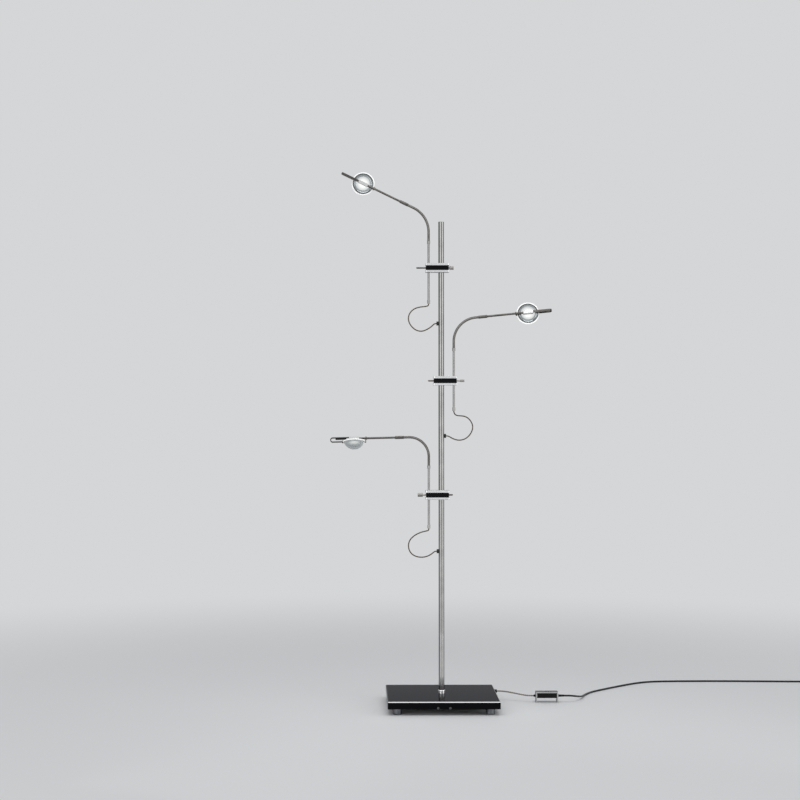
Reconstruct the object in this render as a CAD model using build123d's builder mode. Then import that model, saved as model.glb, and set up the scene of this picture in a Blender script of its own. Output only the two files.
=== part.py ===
from build123d import *
import math
import os
from dataclasses import dataclass

# Projection floor lamp: three glass lens heads on goosenecks, each clamped to one pole on a square base.
# Millimetres. The origin is on the floor below the pole, +X is to the right, +Y is to the back, +Z is up.

# Clearances
TOUCH_GAP = 0.05  # between pieces that are fixed to each other
RUNNING_GAP = 0.05  # radial, where a piece turns or slides in its bore
FREE_GAP = 0.3  # between pieces that pass each other

# Base plate, its feet and the front screws
BASE_SIDE = 350
BASE_THICK = 23
BASE_BEVEL = 2.5
BASE_RIM = 45  # around the pocket below the plate
POCKET_DEPTH = 12
POCKET_BOSS_RADIUS = 22
FOOT_RADIUS = 14
FOOT_HEIGHT = 20
FOOT_INSET = 30
FOOT_CHAMFER = 1.5
SCREW_SPACING = 38
SCREW_HEAD_RADIUS = 3.5
SCREW_HEAD_HEIGHT = 1.8
SCREW_RADIUS = 1.6
SCREW_LENGTH = 9
SCREW_END_GAP = 1  # hole beyond the screw
SCREW_RISE = 3.6  # above the plate's lower face

# Pole, the collar at its foot and the hollow nipple that holds it to the base
POLE_RADIUS = 9
POLE_WALL = 1.5
POLE_TOP = 1546
POLE_PLUG = 35  # solid foot of the pole
CAP_THICK = 2
CAP_DEPTH = 10
CAP_CHAMFER = 0.6
COLLAR_RADIUS = 11.5
COLLAR_HEIGHT = 11
COLLAR_ROUND = 2
NIPPLE_RADIUS = 5
NIPPLE_BORE = 3
NIPPLE_GRIP = 28  # length in the pole's foot
NIPPLE_TAIL = 1  # length below the nut
NUT_ACROSS = 18
NUT_HEIGHT = 6
WASHER_RADIUS = 12
WASHER_THICK = 1.6

# Rubber grommets where the arm cables enter the pole
GROMMET_RADIUS = 6.5
GROMMET_REACH = 15  # outer face, from the pole's axis
GROMMET_NECK = 3.5

# Clamps: a black core between two metal plates, with a screw in each end
CLAMP_DEPTH = 30
CORE_HEIGHT = 15.5
CORE_INSET = 1.5  # of the core, from the edge of the plates
PLATE_THICK = 7
PLATE_CHAMFER = 0.8
CLAMP_CORNER = 3
POLE_END = 25.5  # from the pole's axis to the clamp's near end
TUBE_END = 10.5  # from the arm tube's axis to the clamp's far end
ARM_OFFSET = 40  # from the pole's axis to the arm tube's axis
BUSH_WALL = 2
BUSH_SLIT = 1.5
BUSH_END_GAP = 0.1  # to the plate above and below
SHANK_RADIUS = 2.5
FLUTES = 14
FLUTE_RADIUS = 0.7
STUB_TIP = 3  # chamfered end of the slim screw
STUB_TIP_RADIUS = 1.6

# Arm tubes, the ferrule at their top and the cable gland at their bottom
TUBE_LENGTH = 194
TUBE_RADIUS = 3.5
TUBE_BORE = 2.5
FERRULE_RADIUS = 4.8
LOW_FERRULE_LENGTH = 10
GLAND_WALL = 0.9
GLAND_GRIP = 9
GLAND_FLOOR = 1.7

# Goosenecks, as links on ball ends
NECK_LENGTH = 148
NECK_RADIUS = 4
NECK_HINGE_TURN = 13  # degrees each way at each ball
BALL_RADIUS = 3.6
HIGH_FERRULE_LENGTH = 28
SPIGOT_RADIUS = 2.5
SPIGOT_LENGTH = 15

# Lens heads
BAR_RADIUS = 3.25
LENS_ALONG = 131  # lens centre, from the neck's upper ferrule
HEAD_LENGTH = 207
LED_LENGTH = 32
LED_WIDTH = 9
LED_BACK = 6.5  # behind the bar's axis
LED_FRONT = 7.5  # before the bar's axis
LED_ROUND = 1
LED_GRIP = 10  # depth of the bar and of the loop in the block
EMITTER_RADIUS = 4
LENS_SEAT = 8.5  # flat face of the lens, before the bar's axis
LENS_RADIUS = 36.5
LENS_RIM = 3
DOME_RADIUS = 33
DOME_HEIGHT = 24
STRIP_WIDTH = 7
STRIP_THICK = 2.5
LOOP_BACK = 3.5  # back strip of the loop, behind the bar's axis
JAW_LAP = 2.5  # over the lens rim
JAW_WALL = 2
CLIP_COLLAR_RADIUS = 5
CLIP_COLLAR_LENGTH = 5
GRIP_START = 24  # from the lens centre
GRIP_LENGTH = 35
GRIP_WIDTH = 6.6
GRIP_THICK = 5

# In-line driver box with a foot button
BOX_X = 344
BOX_Y = 84
BOX_WIDTH = 72
BOX_DEPTH = 28
BOX_HEIGHT = 35
BOX_WALL = 4
BOX_CORNER = 2
CORE_RECESS = 0.6
CORE_LIFT = 15  # open space below the core
RELIEF_RADIUS = 4
RELIEF_REACH = 6
MAINS_RELIEF_LENGTH = 20
MAINS_RELIEF_TIP = 3.4
RELIEF_HEIGHT = 21
BUTTON_RADIUS = 8
BUTTON_FLANGE = 1.6
BUTTON_FLANGE_THICK = 2
BUTTON_RISE = 1
BUTTON_TRAVEL = 1.5

# Cords
ARC_SHARE = 0.45  # of the shorter run beside a corner
CABLE_RADIUS = 1.9
CABLE_EXIT = 4.4  # straight length below the gland
CABLE_ENTRY = 6.5  # straight length before the grommet
SUPPLY_RADIUS = 2.6
MAINS_RADIUS = 3
BASE_GLAND_INSET = 53  # from the plate's back edge
BASE_GLAND_RISE = 10  # above the plate's lower face
BASE_GLAND_RADIUS = 5.5
BASE_GLAND_REACH = 11
BASE_GLAND_NECK = 3.5
BASE_GLAND_CHAMFER = 1

# Coil of the spare mains cord, and its plug
COIL_X = 1328
COIL_Y = 496
COIL_GAP = 0.6  # between neighbouring turns and layers
COIL_OUTER = 36.3  # radius of the first half turn
HALF_TURNS_IN = 4
HALF_TURNS_OUT = 3
COIL_TAIL = 26
PLUG_LENGTH = 36
PLUG_WIDTH = 27
PLUG_ROUND = 5
PLUG_NECK_RADIUS = 4.6
PLUG_NECK_LENGTH = 12
PIN_RADIUS = 2
PIN_LENGTH = 19
PIN_SPACING = 19

# Top arm, left of the pole
TOP_CLAMP_DROP = 147  # middle of the clamp, below the pole's top
TOP_TUBE_DROP = 112  # bottom of the tube, below the clamp's middle
TOP_GROMMET_DROP = 65.3  # below the tube's bottom
TOP_NECK_FIRST = 33  # straight stretch before the bend
TOP_NECK_RADIUS = 85
TOP_NECK_TURN = 64  # degrees
TOP_LENS_TURN = 0  # lens axis about the bar, from straight back, in degrees
TOP_KNOB_SHANK = 1
TOP_KNOB_RADIUS = 6
TOP_KNOB_LENGTH = 13
TOP_STUB_LENGTH = 29
TOP_CABLE = [
    (43.6, -9.6), (52.6, -11.2), (66, -12.4), (79.5, -15.4), (91, -21.8), (99.8, -31.2),
    (104.6, -43.4), (104.4, -56), (99.6, -68), (91, -78.8), (79.5, -87), (66, -90.4),
    (52.5, -87.8), (39.5, -81), (28.6, -73),
]

# Middle arm, right of the pole
MIDDLE_CLAMP_DROP = 507
MIDDLE_TUBE_DROP = 94
MIDDLE_GROMMET_DROP = 81.8
MIDDLE_NECK_FIRST = 25
MIDDLE_NECK_RADIUS = 77
MIDDLE_NECK_TURN = 84.4
MIDDLE_LENS_TURN = -18
MIDDLE_KNOB_SHANK = 10
MIDDLE_KNOB_RADIUS = 4
MIDDLE_KNOB_LENGTH = 13
MIDDLE_STUB_LENGTH = 17
MIDDLE_CABLE = [
    (43.5, -13.5), (50.5, -17.1), (61, -17.8), (73, -18.8), (84, -23.8), (93.5, -33.5),
    (99.6, -45.5), (100.4, -58), (95.6, -71.8), (86, -84.4), (72.8, -93.2), (57, -96.1),
    (42.5, -93.2), (30.5, -87.2),
]

# Lower arm, left of the pole
LOWER_CLAMP_DROP = 871
LOWER_TUBE_DROP = 105
LOWER_GROMMET_DROP = 74.6
LOWER_NECK_FIRST = 33
LOWER_NECK_RADIUS = 62
LOWER_NECK_TURN = 91.3
LOWER_LENS_TURN = -105
LOWER_KNOB_SHANK = 9
LOWER_KNOB_RADIUS = 6
LOWER_KNOB_LENGTH = 16
LOWER_STUB_LENGTH = 11
LOWER_CABLE = [
    (43.8, -9.2), (53, -11), (66, -14.4), (78.5, -20), (90, -27.4), (99.6, -37),
    (104.8, -49), (105.2, -62), (101.6, -74.5), (93.5, -84.6), (82, -91), (68.5, -93.8),
    (55, -93.4), (42.5, -89.8), (31, -83.2),
]


@dataclass
class Arm:
    """What differs from arm to arm."""

    name: str
    side: int  # -1 left of the pole, 1 right of it
    knob_side: int  # 1 on the tube's end of the clamp, -1 on the pole's end
    clamp_drop: float
    tube_drop: float
    grommet_drop: float
    neck_first: float
    neck_radius: float
    neck_turn: float
    lens_turn: float
    knob_shank: float
    knob_radius: float
    knob_length: float
    stub_length: float
    cable: list  # route of the cable, out from the pole's axis and up from the tube's bottom

    @property
    def clamp_height(self):
        return POLE_TOP - self.clamp_drop

    @property
    def tube_bottom(self):
        return self.clamp_height - self.tube_drop

    @property
    def grommet_height(self):
        return self.tube_bottom - self.grommet_drop


ARMS = [
    Arm(
        name="top",
        side=-1,
        knob_side=-1,
        clamp_drop=TOP_CLAMP_DROP,
        tube_drop=TOP_TUBE_DROP,
        grommet_drop=TOP_GROMMET_DROP,
        neck_first=TOP_NECK_FIRST,
        neck_radius=TOP_NECK_RADIUS,
        neck_turn=TOP_NECK_TURN,
        lens_turn=TOP_LENS_TURN,
        knob_shank=TOP_KNOB_SHANK,
        knob_radius=TOP_KNOB_RADIUS,
        knob_length=TOP_KNOB_LENGTH,
        stub_length=TOP_STUB_LENGTH,
        cable=TOP_CABLE,
    ),
    Arm(
        name="middle",
        side=1,
        knob_side=1,
        clamp_drop=MIDDLE_CLAMP_DROP,
        tube_drop=MIDDLE_TUBE_DROP,
        grommet_drop=MIDDLE_GROMMET_DROP,
        neck_first=MIDDLE_NECK_FIRST,
        neck_radius=MIDDLE_NECK_RADIUS,
        neck_turn=MIDDLE_NECK_TURN,
        lens_turn=MIDDLE_LENS_TURN,
        knob_shank=MIDDLE_KNOB_SHANK,
        knob_radius=MIDDLE_KNOB_RADIUS,
        knob_length=MIDDLE_KNOB_LENGTH,
        stub_length=MIDDLE_STUB_LENGTH,
        cable=MIDDLE_CABLE,
    ),
    Arm(
        name="lower",
        side=-1,
        knob_side=1,
        clamp_drop=LOWER_CLAMP_DROP,
        tube_drop=LOWER_TUBE_DROP,
        grommet_drop=LOWER_GROMMET_DROP,
        neck_first=LOWER_NECK_FIRST,
        neck_radius=LOWER_NECK_RADIUS,
        neck_turn=LOWER_NECK_TURN,
        lens_turn=LOWER_LENS_TURN,
        knob_shank=LOWER_KNOB_SHANK,
        knob_radius=LOWER_KNOB_RADIUS,
        knob_length=LOWER_KNOB_LENGTH,
        stub_length=LOWER_STUB_LENGTH,
        cable=LOWER_CABLE,
    ),
]

# Route of the low-voltage cord from the base to the driver box
SUPPLY_ROUTE = [
    (186, 122, 30), (199, 122, 30), (216, 118.5, 28.8), (236, 110, 26.4), (256, 98.5, 23.8),
    (274, 88.5, 21.8), (289, 84, 21), (302, 84, 21),
]

# Route of the mains cord from the driver box to the coil, along the floor
MAINS_ROUTE = [
    (400, 84, 21), (413, 84, 21), (427.2, 89, 19.5), (441, 100.5, 16.5), (455, 123.5, 11.7),
    (466, 154.5, 7.2), (475, 188, 4), (487, 222, 3), (512, 272, 3), (553, 320, 3), (598, 370, 3),
    (644, 420, 3), (693, 466, 3), (747, 499, 3), (830, 506.5, 3), (916, 508.5, 3), (1002, 508, 3),
    (1088, 504.5, 3), (1172, 500.2, 3), (1252, 496, 3), (1322, 496, 3),
]

FROM_START = (Align.CENTER, Align.CENTER, Align.MIN)
BASE_BOTTOM = FOOT_HEIGHT
POCKET_SIDE = BASE_SIDE - 2 * BASE_RIM
BASE_TOP = FOOT_HEIGHT + BASE_THICK
POLE_BORE = POLE_RADIUS - POLE_WALL
BUSH_RADIUS = POLE_RADIUS + RUNNING_GAP + BUSH_WALL
NECK_HINGES = [NECK_LENGTH * share for share in (1 / 6, 1 / 2, 5 / 6)]
NECK_SETBACK = NECK_RADIUS * math.sin(math.radians(NECK_HINGE_TURN)) + FREE_GAP
LOOP_FRONT = LENS_SEAT + LENS_RIM / 2

os.makedirs("parts", exist_ok=True)


def save(piece, name):
    """Labels a finished piece and writes it."""
    piece.label = name
    export_step(piece, f"parts/{name}.step")


def level(height, x=0, y=0):
    """A level plane at a height."""
    return Plane((x, y, height))


def facing(origin, direction, across=(0, 1, 0)):
    """A plane at a point, square to a direction."""
    return Plane(origin, x_dir=across, z_dir=direction)


def rod(place, radius, length, mode=Mode.ADD):
    """A round bar that starts on a plane and runs along its normal."""
    with Locations(place):
        Cylinder(radius, length, align=FROM_START, mode=mode)


# Base


def make_base():
    with BuildPart() as base_plate:
        with BuildSketch(level(BASE_BOTTOM)):
            Rectangle(BASE_SIDE, BASE_SIDE)
        extrude(amount=BASE_THICK)
        chamfer(base_plate.faces().sort_by(Axis.Z)[-1].edges(), BASE_BEVEL)
        with BuildSketch(level(BASE_BOTTOM)):
            Rectangle(POCKET_SIDE, POCKET_SIDE)
            Circle(POCKET_BOSS_RADIUS, mode=Mode.SUBTRACT)
        extrude(amount=POCKET_DEPTH, mode=Mode.SUBTRACT)
        rod(level(BASE_BOTTOM), NIPPLE_RADIUS + TOUCH_GAP, BASE_THICK, Mode.SUBTRACT)
        for x in (-SCREW_SPACING / 2, SCREW_SPACING / 2):
            rod(screw_place(x), SCREW_RADIUS + TOUCH_GAP, SCREW_LENGTH + SCREW_END_GAP, Mode.SUBTRACT)
        rod(base_gland_place(), BASE_GLAND_NECK + TOUCH_GAP, BASE_RIM, Mode.SUBTRACT)
    save(base_plate.part, "base_plate")

    with BuildPart() as base_feet:
        foot_step = BASE_SIDE - 2 * FOOT_INSET
        with BuildSketch(level(0)):
            with GridLocations(foot_step, foot_step, 2, 2):
                Circle(FOOT_RADIUS)
        extrude(amount=FOOT_HEIGHT)
        chamfer(base_feet.edges().group_by(Axis.Z)[0], FOOT_CHAMFER)
    save(base_feet.part, "base_feet")

    with BuildPart() as base_fasteners:
        for x in (-SCREW_SPACING / 2, SCREW_SPACING / 2):
            rod(screw_place(x), SCREW_RADIUS, SCREW_LENGTH)
            head = Plane(screw_place(x).origin, x_dir=(1, 0, 0), z_dir=(0, -1, 0))
            rod(head, SCREW_HEAD_RADIUS, SCREW_HEAD_HEIGHT)
        washer_bottom = BASE_BOTTOM - WASHER_THICK
        nut_bottom = washer_bottom - NUT_HEIGHT
        with BuildSketch(level(washer_bottom)):
            Circle(WASHER_RADIUS)
            Circle(NIPPLE_RADIUS + TOUCH_GAP, mode=Mode.SUBTRACT)
        extrude(amount=WASHER_THICK)
        with BuildSketch(level(nut_bottom)):
            RegularPolygon(NUT_ACROSS / 2, 6, major_radius=False)
            Circle(NIPPLE_RADIUS + TOUCH_GAP, mode=Mode.SUBTRACT)
        extrude(amount=NUT_HEIGHT)
        with BuildSketch(level(nut_bottom - NIPPLE_TAIL)):
            Circle(NIPPLE_RADIUS)
            Circle(NIPPLE_BORE, mode=Mode.SUBTRACT)
        extrude(amount=BASE_TOP + NIPPLE_GRIP - nut_bottom + NIPPLE_TAIL)
    save(base_fasteners.part, "base_fasteners")

    with BuildPart() as base_gland:
        rod(base_gland_place(), BASE_GLAND_NECK, BASE_RIM)
        outside = Plane(base_gland_place().origin, x_dir=(0, 1, 0), z_dir=(1, 0, 0))
        rod(outside, BASE_GLAND_RADIUS, BASE_GLAND_REACH)
        chamfer(base_gland.edges().filter_by(GeomType.CIRCLE).sort_by(Axis.X)[-1], BASE_GLAND_CHAMFER)
    save(base_gland.part, "base_gland")


def screw_place(x):
    """Where a front screw enters the plate, looking in."""
    return Plane((x, -BASE_SIDE / 2, BASE_BOTTOM + SCREW_RISE), x_dir=(1, 0, 0), z_dir=(0, 1, 0))


def base_gland_place():
    """Where the supply cord leaves the plate's right side, looking in."""
    origin = (BASE_SIDE / 2, BASE_SIDE / 2 - BASE_GLAND_INSET, BASE_BOTTOM + BASE_GLAND_RISE)
    return Plane(origin, x_dir=(0, 1, 0), z_dir=(-1, 0, 0))


# Pole


def make_pole():
    tube_top = POLE_TOP - CAP_THICK
    with BuildPart() as pole:
        rod(level(BASE_TOP), POLE_RADIUS, tube_top - BASE_TOP)
        rod(level(BASE_TOP), NIPPLE_RADIUS + TOUCH_GAP, POLE_PLUG, Mode.SUBTRACT)
        rod(level(BASE_TOP + POLE_PLUG), POLE_BORE, tube_top - BASE_TOP - POLE_PLUG, Mode.SUBTRACT)
        for arm in ARMS:
            rod(grommet_place(arm), GROMMET_NECK + TOUCH_GAP, GROMMET_REACH, Mode.SUBTRACT)
    save(pole.part, "pole")

    with BuildPart() as pole_cap:
        rod(level(tube_top), POLE_RADIUS, CAP_THICK)
        rod(level(tube_top - CAP_DEPTH), POLE_BORE - TOUCH_GAP, CAP_DEPTH)
        chamfer(pole_cap.faces().sort_by(Axis.Z)[-1].edges(), CAP_CHAMFER)
    save(pole_cap.part, "pole_cap")

    with BuildPart() as pole_collar:
        rod(level(BASE_TOP), COLLAR_RADIUS, COLLAR_HEIGHT)
        fillet(pole_collar.faces().sort_by(Axis.Z)[-1].edges(), COLLAR_ROUND)
        rod(level(BASE_TOP), POLE_RADIUS + TOUCH_GAP, COLLAR_HEIGHT, Mode.SUBTRACT)
    save(pole_collar.part, "pole_collar")

    with BuildPart() as cable_grommets:
        for arm in ARMS:
            rod(grommet_place(arm), GROMMET_RADIUS, GROMMET_REACH)
        rod(level(BASE_TOP), POLE_RADIUS + TOUCH_GAP, POLE_TOP, Mode.SUBTRACT)
        for arm in ARMS:
            inner = grommet_place(arm).offset(POLE_BORE)
            rod(inner, GROMMET_NECK, GROMMET_REACH - POLE_BORE)
    save(cable_grommets.part, "cable_grommets")


def grommet_place(arm):
    """On the pole's axis, looking out through an arm's cable grommet."""
    return facing((0, 0, arm.grommet_height), (arm.side, 0, 0))


# Clamps


def clamp_outline(arm, inset, pole_hole, tube_hole):
    """The clamp seen from above, drawn in by an inset, with its two holes."""
    length = POLE_END + ARM_OFFSET + TUBE_END
    middle = arm.side * (length / 2 - POLE_END)
    with BuildSketch() as outline:
        with Locations((middle, 0)):
            RectangleRounded(length - 2 * inset, CLAMP_DEPTH - 2 * inset, CLAMP_CORNER)
        Circle(pole_hole, mode=Mode.SUBTRACT)
        with Locations((arm.side * ARM_OFFSET, 0)):
            Circle(tube_hole, mode=Mode.SUBTRACT)
    return outline.sketch


def screw_ends(arm):
    """For each end of the clamp: the outward direction, the end face and the screw's inner tip."""
    tube_end = arm.side * (ARM_OFFSET + TUBE_END)
    tube_tip = arm.side * (ARM_OFFSET + TUBE_RADIUS + FREE_GAP)
    pole_end = -arm.side * POLE_END
    pole_tip = -arm.side * (BUSH_RADIUS + FREE_GAP)
    return {1: (arm.side, tube_end, tube_tip), -1: (-arm.side, pole_end, pole_tip)}


def make_clamp(arm):
    middle = arm.clamp_height
    core_bottom = middle - CORE_HEIGHT / 2
    ends = screw_ends(arm)

    with BuildPart() as pole_bush:
        bush_height = CORE_HEIGHT - 2 * BUSH_END_GAP
        with BuildSketch(level(middle - bush_height / 2)):
            Circle(BUSH_RADIUS)
            Circle(POLE_RADIUS + RUNNING_GAP, mode=Mode.SUBTRACT)
            with Locations((0, BUSH_RADIUS)):
                Rectangle(BUSH_SLIT, 2 * BUSH_RADIUS, mode=Mode.SUBTRACT)
        extrude(amount=bush_height)
    save(pole_bush.part, f"{arm.name}_pole_bush")

    with BuildPart() as clamp_core:
        outline = clamp_outline(arm, CORE_INSET, BUSH_RADIUS + RUNNING_GAP, TUBE_RADIUS + RUNNING_GAP)
        extrude(level(core_bottom) * outline, amount=CORE_HEIGHT)
        for direction, face, tip in ends.values():
            hole = facing((face, 0, middle), (-direction, 0, 0))
            rod(hole, SHANK_RADIUS + RUNNING_GAP, abs(face - tip) + 2 * FREE_GAP, Mode.SUBTRACT)
    save(clamp_core.part, f"{arm.name}_clamp_core")

    with BuildPart() as clamp_plates:
        outline = clamp_outline(arm, 0, POLE_RADIUS + FREE_GAP, TUBE_RADIUS + FREE_GAP)
        extrude(level(core_bottom - PLATE_THICK) * outline, amount=PLATE_THICK)
        extrude(level(core_bottom + CORE_HEIGHT) * outline, amount=PLATE_THICK)
        lowest = clamp_plates.faces().sort_by(Axis.Z)[0].outer_wire().edges()
        highest = clamp_plates.faces().sort_by(Axis.Z)[-1].outer_wire().edges()
        chamfer(lowest + highest, PLATE_CHAMFER)
    save(clamp_plates.part, f"{arm.name}_clamp_plates")

    with BuildPart() as thumbscrew:
        direction, face, tip = ends[arm.knob_side]
        shank = facing((tip, 0, middle), (direction, 0, 0))
        rod(shank, SHANK_RADIUS, abs(face - tip) + arm.knob_shank)
        knob = facing((face + direction * arm.knob_shank, 0, middle), (direction, 0, 0))
        with BuildSketch(knob):
            Circle(arm.knob_radius)
            with PolarLocations(arm.knob_radius + FLUTE_RADIUS / 2, FLUTES):
                Circle(FLUTE_RADIUS, mode=Mode.SUBTRACT)
        extrude(amount=arm.knob_length)
    save(thumbscrew.part, f"{arm.name}_thumbscrew")

    with BuildPart() as lock_screw:
        direction, face, tip = ends[-arm.knob_side]
        shank = facing((tip, 0, middle), (direction, 0, 0))
        straight = abs(face - tip) + arm.stub_length - STUB_TIP
        rod(shank, SHANK_RADIUS, straight)
        with Locations(shank.offset(straight)):
            Cone(SHANK_RADIUS, STUB_TIP_RADIUS, STUB_TIP, align=FROM_START)
    save(lock_screw.part, f"{arm.name}_lock_screw")


# Arm tubes and goosenecks


def neck_place(arm, along):
    """The plane square to the neck's middle line, at a length along it from the tube's top."""
    bend = min(max(along - arm.neck_first, 0), math.radians(arm.neck_turn) * arm.neck_radius)
    turn = bend / arm.neck_radius
    last = max(along - arm.neck_first - bend, 0)
    out = arm.neck_radius * (1 - math.cos(turn)) + last * math.sin(turn)
    up = min(along, arm.neck_first) + arm.neck_radius * math.sin(turn) + last * math.cos(turn)
    origin = (arm.side * (ARM_OFFSET + out), 0, arm.tube_bottom + TUBE_LENGTH + up)
    return facing(origin, (arm.side * math.sin(turn), 0, math.cos(turn)))


def neck_stretch(arm, start, end):
    """A stretch of the neck between two lengths along it: straight runs and one bend."""
    bend_start = arm.neck_first
    bend_end = bend_start + math.radians(arm.neck_turn) * arm.neck_radius
    centre_x = arm.side * (ARM_OFFSET + arm.neck_radius)
    bend_axis = Axis((centre_x, 0, arm.tube_bottom + TUBE_LENGTH + arm.neck_first), (0, arm.side, 0))
    stops = [start] + [stop for stop in (bend_start, bend_end) if start < stop < end] + [end]
    for first, last in zip(stops, stops[1:]):
        if bend_start <= first < bend_end:
            with BuildSketch(neck_place(arm, first)) as section:
                Circle(NECK_RADIUS)
            angle = math.degrees((last - first) / arm.neck_radius)
            revolve(section.sketch, axis=bend_axis, revolution_arc=angle)
        else:
            rod(neck_place(arm, first), NECK_RADIUS, last - first)


def ball(arm, hinge):
    with Locations(neck_place(arm, hinge)):
        Sphere(BALL_RADIUS)


def cup(arm, hinge):
    with Locations(neck_place(arm, hinge)):
        Sphere(BALL_RADIUS + FREE_GAP, mode=Mode.SUBTRACT)


def make_arm(arm):
    tube_x = arm.side * ARM_OFFSET
    tube_top = arm.tube_bottom + TUBE_LENGTH
    first, second, third = NECK_HINGES

    with BuildPart() as cable_gland:
        gland_radius = TUBE_RADIUS + RUNNING_GAP + GLAND_WALL
        gland_bottom = arm.tube_bottom - FREE_GAP - GLAND_FLOOR
        rod(level(gland_bottom, tube_x), gland_radius, GLAND_FLOOR + FREE_GAP + GLAND_GRIP)
        seat = level(gland_bottom + GLAND_FLOOR, tube_x)
        rod(seat, TUBE_RADIUS + RUNNING_GAP, FREE_GAP + GLAND_GRIP, Mode.SUBTRACT)
    save(cable_gland.part, f"{arm.name}_cable_gland")

    with BuildPart() as arm_tube:
        rod(level(arm.tube_bottom, tube_x), TUBE_RADIUS, TUBE_LENGTH)
        rod(neck_place(arm, 0), NECK_RADIUS, first - NECK_SETBACK)
        rod(level(tube_top - LOW_FERRULE_LENGTH / 2, tube_x), FERRULE_RADIUS, LOW_FERRULE_LENGTH)
        rod(level(arm.tube_bottom, tube_x), TUBE_BORE, TUBE_LENGTH - LOW_FERRULE_LENGTH, Mode.SUBTRACT)
        cup(arm, first)
    save(arm_tube.part, f"{arm.name}_arm_tube")

    with BuildPart() as neck_lower:
        neck_stretch(arm, first, second - NECK_SETBACK)
        ball(arm, first)
        cup(arm, second)
    save(neck_lower.part, f"{arm.name}_neck_lower")

    with BuildPart() as neck_upper:
        neck_stretch(arm, second, third - NECK_SETBACK)
        ball(arm, second)
        cup(arm, third)
    save(neck_upper.part, f"{arm.name}_neck_upper")

    with BuildPart() as neck_tip:
        neck_stretch(arm, third, NECK_LENGTH)
        ball(arm, third)
        rod(neck_place(arm, NECK_LENGTH), FERRULE_RADIUS, HIGH_FERRULE_LENGTH)
        bore = neck_place(arm, NECK_LENGTH).offset(HIGH_FERRULE_LENGTH - SPIGOT_LENGTH - FREE_GAP)
        rod(bore, SPIGOT_RADIUS + RUNNING_GAP, SPIGOT_LENGTH + FREE_GAP, Mode.SUBTRACT)
    save(neck_tip.part, f"{arm.name}_neck_tip")


# Lens heads


def lens_axis(arm):
    """The way a lens looks, square to its bar."""
    along = neck_place(arm, NECK_LENGTH).z_dir
    up = Vector(-arm.side * along.Z, 0, abs(along.X))
    roll = math.radians(arm.lens_turn)
    return Vector(0, 1, 0) * math.cos(roll) + up * math.sin(roll)


def bar_place(arm, along):
    """The plane square to the head's bar, at a length along it from the neck's upper ferrule."""
    start = neck_place(arm, NECK_LENGTH).offset(HIGH_FERRULE_LENGTH)
    return Plane(start.origin + start.z_dir * along, x_dir=lens_axis(arm), z_dir=start.z_dir)


def side_place(arm):
    """The plane of the bar and the lens axis: X along the bar from the lens centre, Y along the axis."""
    centre = bar_place(arm, LENS_ALONG)
    return Plane(centre.origin, x_dir=centre.z_dir, z_dir=centre.z_dir.cross(lens_axis(arm)))


def jaw(facing_side):
    """A jaw around the lens rim, on the far side of the lens or on the near one."""
    slot_start = LENS_SEAT - TOUCH_GAP
    slot_end = LENS_SEAT + LENS_RIM + TOUCH_GAP
    lip = LENS_RADIUS - JAW_LAP
    wall = LENS_RADIUS + TOUCH_GAP
    outer = wall + JAW_WALL
    corners = [
        (lip, slot_start - JAW_WALL), (outer, slot_start - JAW_WALL), (outer, slot_end + JAW_WALL),
        (lip, slot_end + JAW_WALL), (lip, slot_end), (wall, slot_end), (wall, slot_start), (lip, slot_start),
    ]
    Polygon(*[(facing_side * x, y) for x, y in corners], align=None)


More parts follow.
